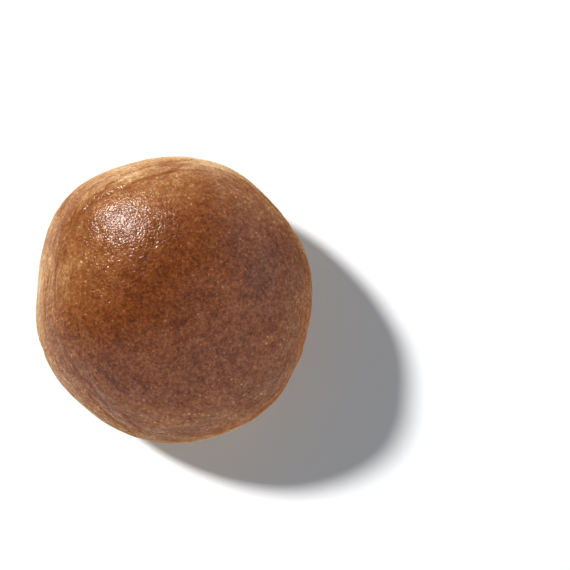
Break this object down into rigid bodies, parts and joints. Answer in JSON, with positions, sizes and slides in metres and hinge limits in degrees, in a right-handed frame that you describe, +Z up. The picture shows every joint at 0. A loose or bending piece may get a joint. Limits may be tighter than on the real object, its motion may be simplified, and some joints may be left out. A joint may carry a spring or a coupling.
{
  "type": "bread roll",
  "caption": "Round soft bread roll, baked in one piece, with a glossy brown domed crust, paler sides and a small flat foot that it rests on.",
  "frame": {"origin": "on the surface the roll stands on, under the middle of its bounding box", "axes": "+Z up through the crown, +Y along the slightly longer way across in plan, +X towards the steeper side that the crown leans to"},
  "size_m": [0.0878, 0.0914, 0.0589],
  "materials": {
    "crust": "satin"
  },
  "bodies": {
    "root": {"bread_roll": "crust"}
  },
  "joints": []
}
